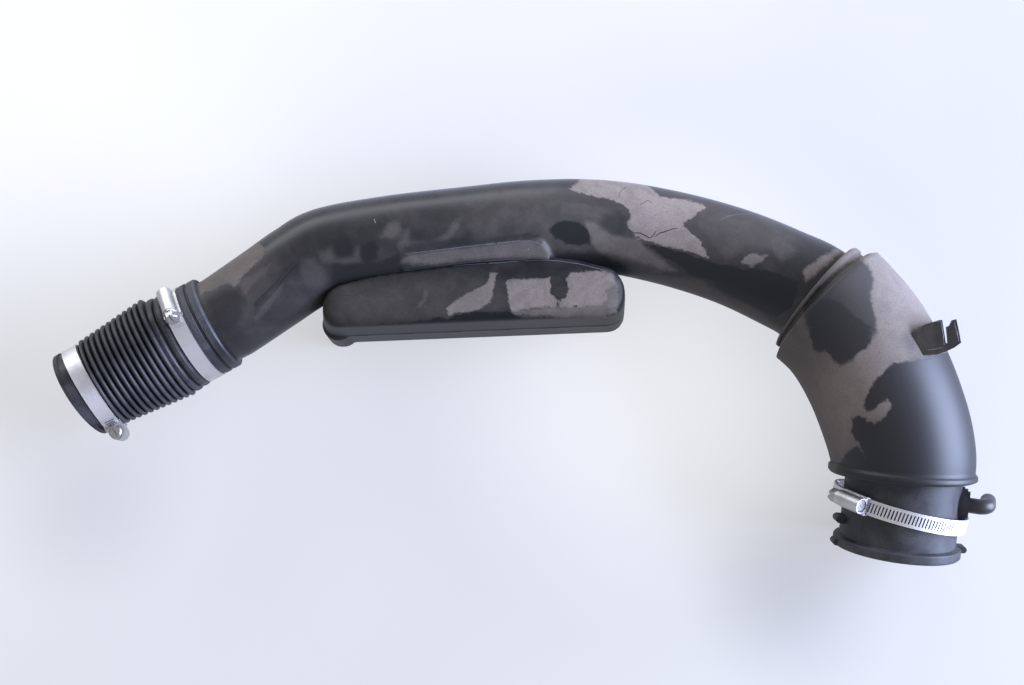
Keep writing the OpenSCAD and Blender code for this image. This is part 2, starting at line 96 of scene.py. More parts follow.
FLOOR_SIZE = 6
FLOOR_ALBEDO = (0.30, 0.295, 0.29)
FLOOR_COLOUR = (0.955, 0.96, 1.0)
# The light that the floor shows grows from its near right to its far left, along y - x
FLOOR_GLOW = (0.45, 0.70)
FLOOR_SLOPE = (-0.15, 0.5)
# The share of that light that reflections show
FLOOR_MIRRORED = 0.55
# Painted shade and light on the floor, in soft spots: lighter under the pipe, painted shadows beside the
# cuff and the hose, darker at the far left: place, reach, how much lighter
FLOOR_PAINTED_SHADE_AND_LIGHT = [
    ((0.10, 0.01), 0.19, 0.32),
    ((-0.34, 0.02), 0.18, -0.09),
    ((0.165, -0.135), 0.075, -0.16),
    ((-0.265, -0.075), 0.08, -0.11),
]


def area_lamp(name, place, target, size, power, colour):
    data = bpy.data.lights.new(name, "AREA")
    data.shape = "RECTANGLE"
    data.size, data.size_y = size
    data.energy = power
    data.color = colour
    lamp = bpy.data.objects.new(name, data)
    bpy.context.scene.collection.objects.link(lamp)
    lamp.location = place
    lamp.rotation_euler = (Vector(target) - Vector(place)).to_track_quat("-Z", "Y").to_euler()


def background(nodes, colour, strength):
    made = nodes.new("ShaderNodeBackground")
    made.inputs["Color"].default_value = (*colour, 1)
    made.inputs["Strength"].default_value = strength
    return made


def light_scene():
    world = bpy.data.worlds.new("pale_room")
    bpy.context.scene.world = world
    world.use_nodes = True
    nodes, links = world.node_tree.nodes, world.node_tree.links
    nodes.clear()
    out = nodes.new("ShaderNodeOutputWorld")
    mix = nodes.new("ShaderNodeMixShader")
    path = nodes.new("ShaderNodeLightPath")
    links.new(path.outputs["Is Camera Ray"], mix.inputs[0])
    links.new(background(nodes, *ROOM).outputs[0], mix.inputs[1])
    links.new(background(nodes, *ROOM_SEEN).outputs[0], mix.inputs[2])
    links.new(mix.outputs[0], out.inputs[0])
    for name, settings in LAMPS.items():
        area_lamp(name, *settings)


def floor_tone(g, place):
    """How much light the floor shows at each place."""
    split = g.node("ShaderNodeSeparateXYZ")
    g.links.new(place, split.inputs[0])
    along = g.math("SUBTRACT", split.outputs["Y"], split.outputs["X"])
    tone = g.map(along, *FLOOR_SLOPE, *FLOOR_GLOW)
    # Soft spots of painted shade and painted light
    for (x, y), reach, lighter in FLOOR_PAINTED_SHADE_AND_LIGHT:
        away = g.node("ShaderNodeVectorMath", operation="DISTANCE")
        g.links.new(place, away.inputs[0])
        away.inputs[1].default_value = (x, y, 0)
        tone = g.math("ADD", tone, g.map(away.outputs["Value"], 0.0, reach, lighter, 0.0))
    return tone


def make_floor():
    bpy.ops.mesh.primitive_plane_add(size=FLOOR_SIZE)
    floor = bpy.context.object
    floor.name = "floor"
    material, g = new_graph("pale_floor")
    place = g.coordinates()
    blotch = g.map(g.noise(place, 2.2, 2, 0.5), 0.35, 0.65, 0.94, 1.06)
    speck = g.map(g.noise(place, 900, 2, 0.6), 0.66, 0.74, 1.0, 0.96)
    path = g.node("ShaderNodeLightPath")
    mirrored = g.math("MULTIPLY", path.outputs["Is Glossy Ray"], FLOOR_MIRRORED)
    seen = g.math("ADD", path.outputs["Is Camera Ray"], mirrored)
    glow = g.node("ShaderNodeEmission")
    g.set(glow, "Color", FLOOR_COLOUR)
    g.set(glow, "Strength", g.times(seen, floor_tone(g, place), blotch, speck))
    matt = g.node("ShaderNodeBsdfDiffuse")
    g.set(matt, "Color", FLOOR_ALBEDO)
    both = g.node("ShaderNodeAddShader")
    g.links.new(matt.outputs[0], both.inputs[0])
    g.links.new(glow.outputs[0], both.inputs[1])
    g.finish(both)
    floor.data.materials.append(material)


# Materials

BARE = (0.012, 0.012, 0.014)
DUST = (0.42, 0.35, 0.305)
# Colour of the painted shade in the hose's grooves and beside the cuff's port
SHADE_COLOUR = (0.004, 0.004, 0.006)
SHEEN_TINT = (0.80, 0.86, 1.0)
# Roughness under thick dust, and how much smoother the plastic is where it is wiped bright
DUSTY_ROUGH = 0.85
SHINE_SHARE = 0.12


class Graph:
    """Short ways to build a material's nodes."""

    def __init__(self, material):
        self.nodes = material.node_tree.nodes
        self.links = material.node_tree.links
        self.nodes.clear()

    def node(self, kind, **settings):
        made = self.nodes.new(kind)
        for name, value in settings.items():
            setattr(made, name, value)
        return made

    def set(self, node, socket, value):
        target = node.inputs[socket]
        if hasattr(value, "is_output"):
            self.links.new(value, target)
        elif isinstance(value, tuple):
            target.default_value = (*value, 1) if len(target.default_value) == 4 else value
        else:
            target.default_value = value

    def math(self, operation, a, b=0.0, clamp=False):
        made = self.node("ShaderNodeMath", operation=operation, use_clamp=clamp)
        self.set(made, 0, a)
        self.set(made, 1, b)
        return made.outputs[0]

    def times(self, first, *others):
        for other in others:
            first = self.math("MULTIPLY", first, other)
        return first

    def map(self, value, low, high, to_low, to_high, smooth=True):
        made = self.node("ShaderNodeMapRange", interpolation_type="SMOOTHSTEP" if smooth else "LINEAR")
        self.set(made, "Value", value)
        self.set(made, "From Min", low)
        self.set(made, "From Max", high)
        self.set(made, "To Min", to_low)
        self.set(made, "To Max", to_high)
        return made.outputs[0]

    def mix(self, share, a, b):
        made = self.node("ShaderNodeMix", data_type="RGBA")
        self.set(made, 0, share)
        self.set(made, 6, a)
        self.set(made, 7, b)
        return made.outputs[2]

    def coordinates(self, scale=(1, 1, 1)):
        made = self.node("ShaderNodeTexCoord").outputs["Object"]
        if scale != (1, 1, 1):
            stretch = self.node("ShaderNodeVectorMath", operation="MULTIPLY")
            self.links.new(made, stretch.inputs[0])
            stretch.inputs[1].default_value = scale
            made = stretch.outputs[0]
        return made

    def noise(self, place, scale, detail, roughness, distortion=0.0):
        made = self.node("ShaderNodeTexNoise")
        self.links.new(place, made.inputs["Vector"])
        self.set(made, "Scale", scale)
        self.set(made, "Detail", detail)
        self.set(made, "Roughness", roughness)
        self.set(made, "Distortion", distortion)
        return made.outputs["Fac"]

    def swing(self, place, scale, detail, roughness, width):
        """Noise that swings about zero, over the given width."""
        level = self.math("SUBTRACT", self.noise(place, scale, detail, roughness), 0.5)
        return self.math("MULTIPLY", level, width)

    def edge(self, distance, softness):
        """0 outside an outline and 1 inside it, changing over the softness on both sides."""
        return self.map(distance, self.math("MULTIPLY", softness, -1.0), softness, 0.0, 1.0)

    def attribute(self, name):
        return self.node("ShaderNodeAttribute", attribute_name=name).outputs["Fac"]

    def bump(self, height, strength, distance, under=None):
        made = self.node("ShaderNodeBump")
        self.set(made, "Height", height)
        self.set(made, "Strength", strength)
        self.set(made, "Distance", distance)
        if under is not None:
            self.links.new(under, made.inputs["Normal"])
        return made.outputs[0]

    def finish(self, shader):
        out = self.node("ShaderNodeOutputMaterial")
        self.links.new(shader.outputs[0], out.inputs[0])


def new_graph(name):
    material = bpy.data.materials.new(name)
    material.use_nodes = True
    return material, Graph(material)


def dusty_plastic(name, veil, gloss=0.36, specular=0.5, rim=0.3):
    """Black moulded plastic. Its dust comes from a thin veil, and from the patches painted on the mesh;
    some patches take dust off as painted shade.
    """
    material, g = new_graph(name)
    place = g.coordinates()
    broad = g.noise(place, 24, 3, 0.55, 0.6)
    smear = g.noise(place, 90, 5, 0.62, 0.8)
    grain = g.noise(place, 1300, 3, 0.75)
    level, clean_and_shade_share = g.attribute("level"), g.attribute("clean_and_shade_share")
    wobble = g.math("ADD", g.swing(place, 380, 4, 0.65, 7.0), g.swing(place, 110, 2, 0.5, 5.0))
    # Thick dust and strongly cleaned spots, painted shade among them, have the sharper edges
    patch = g.edge(g.math("ADD", g.attribute("patch"), wobble), g.map(level, 0.12, 0.5, 6.5, 1.0))
    clean_and_shade = g.edge(g.math("ADD", g.attribute("clean_and_shade"), wobble), g.map(clean_and_shade_share, 0.45, 0.95, 6.0, 1.6))
    # A veil settles on what faces up
    upward = g.node("ShaderNodeSeparateXYZ")
    g.links.new(g.node("ShaderNodeNewGeometry").outputs["Normal"], upward.inputs[0])
    settled = g.map(upward.outputs["Z"], -0.1, 0.7, 0.08, 1.0)
    cloud = g.times(g.map(broad, 0.36, 0.64, 0.55, 1.35), g.map(smear, 0.36, 0.66, 0.7, 1.3))
    hazy = g.times(g.attribute("haze"), g.map(smear, 0.3, 0.7, 0.93, 1.07))
    amount = g.math("ADD", g.times(cloud, settled, veil), hazy)
    amount = g.math("MAXIMUM", amount, g.times(patch, level, g.map(smear, 0.3, 0.7, 0.84, 1.14)))
    # Cleaned patches and patches of painted shade take dust off, so the bare plastic shows dark
    amount = g.times(amount, g.math("SUBTRACT", 1.0, g.times(clean_and_shade, clean_and_shade_share)))
    amount = g.math("MULTIPLY", amount, g.map(grain, 0.32, 0.62, 0.82, 1.12), clamp=True)
    surface = g.node("ShaderNodeBsdfPrincipled")
    g.set(surface, "Base Color", g.mix(amount, BARE, DUST))
    rough = g.map(amount, 0.0, 0.5, gloss, DUSTY_ROUGH, smooth=False)
    g.set(surface, "Roughness", g.math("SUBTRACT", rough, g.times(g.attribute("shine"), SHINE_SHARE)))
    g.set(surface, "Specular IOR Level", specular)
    g.set(surface, "Sheen Weight", rim)
    g.set(surface, "Sheen Roughness", 0.28)
    g.set(surface, "Sheen Tint", SHEEN_TINT)
    leather = g.bump(g.noise(place, 620, 2, 0.5), 0.22, 0.12 * MM)
    crust = g.math("ADD", g.times(patch, 0.6), g.times(grain, 0.4))
    g.set(surface, "Normal", g.bump(crust, 0.35, 0.10 * MM, leather))
    g.finish(surface)
    return material


def rubber(name, bare, dust, veil, gloss, specular=0.4):
    """Black rubber, a little shiny, dusty on its crests, with painted shade in its hollows."""
    material, g = new_graph(name)
    place = g.coordinates()
    cloud = g.noise(place, 60, 4, 0.6, 0.5)
    grain = g.noise(place, 1300, 3, 0.7)
    amount = g.math("ADD", g.times(g.map(cloud, 0.35, 0.70, 0.3, 1.4), veil), g.attribute("haze"))
    amount = g.math("MULTIPLY", amount, g.map(grain, 0.3, 0.65, 0.75, 1.15), clamp=True)
    # Painted shade darkens the grooves and the place beside the port
    colour = g.mix(g.attribute("painted_shade"), g.mix(amount, bare, dust), SHADE_COLOUR)
    surface = g.node("ShaderNodeBsdfPrincipled")
    g.set(surface, "Base Color", colour)
    g.set(surface, "Roughness", g.map(amount, 0.0, 0.5, gloss, 0.75, smooth=False))
    g.set(surface, "Specular IOR Level", specular)
    g.set(surface, "Normal", g.bump(grain, 0.2, 0.08 * MM))
    g.finish(surface)
    return material


def zinc(name, colour, stain, gloss):
    """Zinc plated steel strip, brushed along its length and a little stained."""
    material, g = new_graph(name)
    place = g.coordinates()
    cloud = g.noise(place, 70, 4, 0.6, 0.3)
    scratch = g.noise(g.coordinates((1, 1, 6)), 900, 3, 0.7)
    dirt = g.map(cloud, 0.48, 0.74, 0.0, 0.55)
    surface = g.node("ShaderNodeBsdfPrincipled")
    g.set(surface, "Base Color", g.mix(dirt, colour, stain))
    g.set(surface, "Metallic", 1.0)
    g.set(surface, "Roughness", g.map(scratch, 0.3, 0.7, gloss - 0.06, gloss + 0.12))
    g.set(surface, "Normal", g.bump(scratch, 0.12, 0.06 * MM))
    g.finish(surface)
    return material


def plain(name, colour, rough):
    """One colour, a little uneven."""
    material, g = new_graph(name)
    tone = g.map(g.noise(g.coordinates(), 700, 3, 0.6), 0.3, 0.7, 0.7, 1.3)
    shade = g.node("ShaderNodeMix", data_type="RGBA", blend_type="MULTIPLY")
    g.set(shade, 0, 1.0)
    g.set(shade, 6, colour)
    g.links.new(tone, shade.inputs[7])
    surface = g.node("ShaderNodeBsdfPrincipled")
    g.set(surface, "Base Color", shade.outputs[2])
    g.set(surface, "Roughness", rough)
    g.finish(surface)
    return material


# The duct's route and sizes, as in the CAD, in mm and degrees

HOSE_SEAT = np.array([-178.0, 29.0, 36.0])
HOSE_YAW, SEAT_PITCH = 207.8, 4.0
CUFF_SEAT = np.array([224.8, -63.5, 46.5])
CUFF_YAW, CUFF_PITCH = -95.0, 15.65
SPIGOT_LEN = 27.0
BEND_AT = 31.0
BELLOWS_YAW, BELLOWS_PITCH, BELLOWS_SHIFT = 209.6, -0.5, -0.8
FOLD_WIDE_R, FOLD_NARROW_R = 32.8, 28.0
FOLDS_FROM, FOLDS_LEN = 1.6, 12 * 3.76
# How far below the crests the painted shade of the grooves starts and over what depth it grows
GROOVE_FROM, GROOVE_DEPTH = 0.7, 1.3
# The dust on the crests and how far down it reaches
CREST_DUST, CREST_DEPTH = 0.07, 0.6


def heading_of(yaw, pitch):
    """The direction at a yaw about z, pitched down from the level."""
    yaw, pitch = math.radians(yaw), math.radians(pitch)
    level = math.cos(pitch)
    return np.array([level * math.cos(yaw), level * math.sin(yaw), -math.sin(pitch)])


HOSE_DIR = heading_of(HOSE_YAW, SEAT_PITCH)
CUFF_DIR = heading_of(CUFF_YAW, CUFF_PITCH)
ROUTE = [
    HOSE_SEAT + 2 * SPIGOT_LEN * HOSE_DIR,
    HOSE_SEAT + SPIGOT_LEN * HOSE_DIR,
    HOSE_SEAT,
    HOSE_SEAT - 8 * HOSE_DIR,
    (-146, 49.8, 38.5),
    (-129, 61.6, 39.4),
    (-111, 71, 40),
    (-72, 78, 40.5),
    (-30, 83, 40),
    (12, 87.5, 39),
    (53, 87.8, 37.5),
    (92, 81, 37),
    (130, 69, 39),
    (160, 54.5, 42.5),
    (179, 42.5, 46),
    (198, 20.5, 50.5),
    (211, -5, 52.8),
    (220.5, -32, 51.5),
    (224.8, -51, 49),
    CUFF_SEAT,
    CUFF_SEAT + 13 * CUFF_DIR,
]
ROUTE = [np.array(p, float) - MIDDLE for p in ROUTE]
# Where the pipe ends inside the elbow
AT_PIPE_END = 13.36


def on_route(u):
    """A place on the smooth curve through the route, u counting its points."""
    i = max(0, min(int(math.floor(u)), len(ROUTE) - 4))
    t = u - i
    a, b, c, d = ROUTE[i : i + 4]
    pull = (c - a) * t
    bend = (2 * a - 5 * b + 4 * c - d) * t * t
    twist = (3 * b - a - 3 * c + d) * t**3
    return 0.5 * (2 * b + pull + bend + twist)


def heading(u):
    d = on_route(u + 0.01) - on_route(u - 0.01)
    return d / np.linalg.norm(d)


# The pipe's radius at some of the route's points
PIPE_RADII = [(1, 26.0), (3, 26.6), (5, 27.4), (6, 27.5), (9, 27.9), (11, 29.3), (13, 30.8), (14, 30.8)]


def pipe_radius(u):
    return float(np.interp(u, [p[0] for p in PIPE_RADII], [p[1] for p in PIPE_RADII]))


# The elbow's outer and inner profile: place on the route and radius
CUFF_R = 32.9
ELBOW_R = 41.7
LIP_R = 41.8
WALL = 2.5
COLLAR_BORE = 30.9
ELBOW_OUTER = [
    (13, 35.6), (13.03, 36.8), (13.11, 36.8), (13.15, 35.5), (13.24, 35.5), (13.27, 39.8), (13.33, 42.4),
    (13.46, ELBOW_R + 0.5), (13.8, ELBOW_R), (14.2, ELBOW_R), (14.6, ELBOW_R - 0.1), (15, ELBOW_R - 0.2),
    (15.5, ELBOW_R - 0.3), (16.1, ELBOW_R - 0.5), (16.8, ELBOW_R - 0.9), (17.64, ELBOW_R - 1.5),
    (17.70, LIP_R - 0.7), (17.76, LIP_R), (17.94, LIP_R), (18, LIP_R - 0.9),
]
ELBOW_INNER = [
    (18, CUFF_R + 0.1), (17.76, CUFF_R + 0.1), (17.72, ELBOW_R - WALL - 1.2),
    (17.2, ELBOW_R - WALL - 1.2), (16.4, ELBOW_R - WALL - 0.8), (15.6, ELBOW_R - WALL - 0.4),
    (15, ELBOW_R - WALL), (14.4, ELBOW_R - WALL), (13.8, ELBOW_R - WALL),
    (13.46, 36), (13.37, COLLAR_BORE), (13, COLLAR_BORE),
]
# Longest stretch of the profile along the route and across it, and points around
PROFILE_STEP = (0.12, 1.2)
ELBOW_SIDES = 144
# Sizes of the grid that rounds the edges off, in metres, and how often it is smoothed
PIPE_GRID = (1.35 * MM, 3)
CHAMBER_GRID = (1.2 * MM, 3)

# Mesh helpers


def mesh_object(name, vertices, faces, material):
    mesh = bpy.data.meshes.new(name)
    mesh.from_pydata([tuple(v) for v in vertices], [], faces)
    mesh.update()
    mesh.polygons.foreach_set("use_smooth", [True] * len(mesh.polygons))
    made = bpy.data.objects.new(name, mesh)
    bpy.context.scene.collection.objects.link(made)
    made.data.materials.append(material)
    return made


def tube(rings, closed_row):
    """Vertices and faces through a row of rings; closed_row joins the last ring to the first."""
    n = len(rings[0])
    vertices = np.concatenate(rings)
    faces = []
    last = len(rings) if closed_row else len(rings) - 1
    for i in range(last):
        j = (i + 1) % len(rings)
        for k in range(n):
            m = (k + 1) % n
            faces.append((i * n + k, j * n + k, j * n + m, i * n + m))
    return vertices, faces


def route_ring(u, radius, sides):
    """A ring of points round the route, square to it."""
    h = heading(u)
    side = np.cross([0, 0, 1], h)
    side /= np.linalg.norm(side)
    top = np.cross(h, side)
    a = np.arange(sides) * 2 * math.pi / sides
    return (on_route(u) + radius * (np.cos(a)[:, None] * top + np.sin(a)[:, None] * side)) * MM


def applied(obj):
    """Gives the object the mesh that its modifiers make, and takes the modifiers off."""
    graph = bpy.context.evaluated_depsgraph_get()
    mesh = bpy.data.meshes.new_from_object(obj.evaluated_get(graph))
    obj.modifiers.clear()
    obj.data = mesh
    mesh.polygons.foreach_set("use_smooth", [True] * len(mesh.polygons))
    return obj


def moulded(name, node, voxel, passes):
    """A copy of a CAD node with the soft edges of a moulding, which stands for the node."""
    made = bpy.data.objects.new(name, NODES[node].data.copy())
    bpy.context.scene.collection.objects.link(made)
    remesh = made.modifiers.new("remesh", "REMESH")
    remesh.mode = "VOXEL"
    remesh.voxel_size = voxel
    remesh.use_smooth_shade = True
    relax = made.modifiers.new("relax", "SMOOTH")
    relax.factor = 0.5
    relax.iterations = passes
    applied(made)
    made.data.materials.clear()
    return made


def points_of(obj):
    co = np.empty(len(obj.data.vertices) * 3, np.float32)
    obj.data.vertices.foreach_get("co", co)
    return co.reshape(-1, 3).astype(float)


def normals_of(obj):
    co = np.empty(len(obj.data.vertices) * 3, np.float32)
    obj.data.vertices.foreach_get("normal", co)
    return co.reshape(-1, 3).astype(float)


def set_points(obj, points):
    obj.data.vertices.foreach_set("co", np.asarray(points, np.float32).ravel())
    obj.data.update()


def true_round(obj, radius_at, end, step=0.02, reach=0.55):
    """Moves the points that lie on the CAD's flats out to the true round of the swept pipe."""
    places = np.arange(0.0, end, step)
    middle = np.array([on_route(u) for u in places])
    tree = KDTree(len(places))
    for i, p in enumerate(middle):
        tree.insert(p, i)
    tree.balance()
    points = points_of(obj) / MM
    for n, p in enumerate(points):
        i = tree.find(p)[1]
        h = heading(places[i])
        c = middle[i] + h * ((p - middle[i]) @ h)
        out = p - c
        length = np.linalg.norm(out)
        target = radius_at(places[i])
        off = abs(length - target)
        if off < reach:
            share = 1.0 if off < reach * 0.6 else (reach - off) / (reach * 0.4)
            points[n] = c + out * (1 + share * (target / length - 1))
    set_points(obj, points * MM)


def photo_ray(x, y):
    """The direction from the camera through a pixel of the photograph."""
    ray = FORWARD + ((x - IMAGE[0] / 2) * RIGHT - (y - IMAGE[1] / 2) * UP) / FOCAL_PX
    return Vector(ray).normalized()


def laid_on(tree, line, spacing=1.2):
    """Places and normals where a line of the photograph lies on a surface, in mm."""
    corners = np.array(line, float)
    steps = np.linalg.norm(np.diff(corners, axis=0), axis=1)
    at = np.concatenate([[0], np.cumsum(steps)])
    stations = np.linspace(0, at[-1], max(4, int(at[-1] / spacing)) + 1)
    hits = []
    for x, y in zip(np.interp(stations, at, corners[:, 0]), np.interp(stations, at, corners[:, 1])):
        place, normal, _, _ = tree.ray_cast(Vector(EYE * MM), photo_ray(x, y))
        if place is not None:
            hits.append((np.array(place) / MM, np.array(normal)))
    return hits


def ribbon(tree, line, width, lift=0.04):
    """A thin raised line on a surface, drawn in pixels of the photograph; it tapers at its ends."""
    hits = laid_on(tree, line)
    rings = []
    for i, (place, normal) in enumerate(hits):
        ahead = hits[min(i + 1, len(hits) - 1)][0] - hits[max(i - 1, 0)][0]
        side = np.cross(normal, ahead)
        side /= np.linalg.norm(side)
        half = 0.5 * width * (0.15 + 0.85 * math.sin(math.pi * (i + 0.5) / len(hits)) ** 0.4)
        ring = [place + half * side, place + lift * normal, place - half * side, place - lift * normal]
        rings.append(np.array(ring) * MM)
    vertices, faces = tube(rings, False)
    last = 4 * (len(rings) - 1)
    return vertices, faces + [(0, 1, 2, 3), (last + 3, last + 2, last + 1, last)]


def ribbons(name, obj, lines, material, slot):
    """Thin lines on one piece, joined into one mesh."""
    corners = [tuple(v.co) for v in obj.data.vertices]
    tree = BVHTree.FromPolygons(corners, [tuple(f.vertices) for f in obj.data.polygons])
    all_vertices, all_faces = [], []
    for line, width in lines:
        vertices, faces = ribbon(tree, line, width)
        all_faces += [tuple(k + len(all_vertices) for k in f) for f in faces]
        all_vertices += list(vertices)
    return give(mesh_object(name, all_vertices, all_faces, material), ROOT, slot)


def give(obj, body, slot, *nodes):
    """Says what a piece rides on and which nodes it stands for; the slot is not used."""
    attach(obj, body)
    if nodes:
        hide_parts(*nodes)
    return obj


# Dust patches

# Outlines of what lies on the plastic, drawn in pixels of the photograph. They are laid on the
# side that faces up and kept on the mesh, so they stay in place from any view.
# Each patch of dust has its share of dust, and each cleaned patch the share of dust that is gone.
DUSTY = {
    "pipe_back": (0.63, [(568, 189), (575, 184), (581, 178), (600, 175), (622, 176), (641, 180),
        (652, 189), (661, 197), (681, 199), (700, 203), (706, 208), (697, 214), (690, 219), (683, 224),
        (690, 231), (699, 238), (703, 246), (709, 259), (700, 256), (690, 251), (676, 249), (660, 245),
        (648, 241), (640, 238), (633, 234), (628, 228), (627, 222), (632, 217), (628, 209), (620, 203),
        (605, 199), (590, 195), (575, 192)]),
    "pipe_spot": (0.42, [(741, 263), (744, 257), (749, 252), (758, 254), (769, 255), (762, 261),
        (752, 266)]),
    "pipe_at_collar": (0.36, [(803, 270), (815, 262), (830, 252), (838, 248), (843, 251), (830, 262),
        (816, 273), (806, 282)]),
    "chamber_right": (0.52, [(506, 281), (515, 279), (540, 278), (550, 277), (551, 285), (550, 293),
        (556, 300), (558, 309), (560, 300), (566, 297), (569, 288), (567, 279), (570, 273), (585, 272),
        (600, 270), (612, 275), (616, 284), (606, 290), (607, 300), (600, 305), (575, 307), (545, 307),
        (512, 311), (508, 300)]),
    "chamber_middle": (0.44, [(490, 273), (499, 272), (496, 280), (494, 287), (492, 295), (490, 304),
        (480, 309), (468, 312), (455, 313), (448, 317), (446, 308), (455, 300), (468, 293), (480, 288),
        (487, 281)]),
    "pipe_front": (0.30, [(582, 221), (597, 221), (602, 228), (612, 234), (628, 236), (640, 240),
        (646, 247), (656, 256), (668, 264), (677, 271), (655, 272), (632, 268), (612, 261), (598, 253),
        (591, 243), (588, 232)]),
    "pipe_foot": (0.17, [(640, 275), (670, 277), (700, 279), (712, 288), (730, 298), (745, 304),
        (760, 312), (776, 326), (768, 331), (740, 318), (700, 301), (660, 286), (636, 279)]),
    "pipe_right": (0.15, [(700, 216), (720, 208), (760, 222), (790, 238), (800, 252), (780, 262),
        (770, 252), (750, 248), (738, 256), (726, 262), (712, 250), (700, 234), (692, 224)]),
    "pipe_upper": (0.13, [(500, 190), (520, 186), (545, 190), (570, 198), (600, 203), (615, 210),
        (600, 214), (570, 216), (545, 220), (525, 214), (510, 222), (500, 214)]),
    "pipe_left_a": (0.19, [(388, 222), (400, 219), (402, 232), (396, 240), (380, 238), (384, 228)]),
    "pipe_left_b": (0.18, [(400, 232), (410, 228), (412, 240), (430, 242), (444, 234), (452, 222),
        (462, 216), (460, 228), (450, 242), (430, 252), (404, 256), (396, 246)]),
    "pipe_left_c": (0.15, [(476, 240), (490, 233), (500, 243), (512, 238), (530, 238), (512, 243),
        (480, 248)]),
    "pipe_left_d": (0.14, [(318, 252), (334, 246), (336, 258), (352, 256), (358, 244), (362, 262),
        (346, 266), (320, 264)]),
    "pipe_near_hose": (0.42, [(196, 276), (215, 262), (240, 248), (258, 242), (266, 250), (262, 258),
        (252, 266), (243, 276), (236, 288), (226, 284), (214, 290), (206, 292), (200, 296)]),
    "pipe_streak": (0.15, [(252, 318), (262, 304), (272, 292), (284, 282), (278, 298), (266, 312),
        (256, 322)]),
    "chamber_sliver": (0.26, [(423, 288), (429, 292), (427, 300), (420, 308), (417, 307), (423, 299)]),
    "land": (0.26, [(402, 262), (408, 253), (440, 250), (500, 242), (530, 239), (548, 244), (556, 254),
        (556, 262), (520, 259), (470, 260), (430, 265)]),
    "chamber_right_end": (0.34, [(600, 268), (612, 272), (618, 284), (619, 300), (616, 312), (604, 318),
        (560, 318), (540, 316), (520, 318), (512, 312), (545, 306), (575, 306), (600, 302)]),
    "pipe_middle": (0.17, [(560, 203), (600, 204), (622, 212), (626, 232), (612, 236), (598, 222),
        (575, 219), (560, 212)]),
    "pipe_under_left": (0.09, [(300, 258), (314, 256), (326, 268), (330, 280), (318, 292), (306, 290),
        (298, 276)]),
    "pipe_left_e": (0.20, [(238, 280), (250, 272), (262, 266), (272, 262), (268, 276), (256, 286),
        (248, 296), (240, 298)]),
    "pipe_left_low": (0.05, [(262, 318), (280, 296), (296, 288), (310, 290), (316, 300), (300, 312),
        (280, 322)]),
}
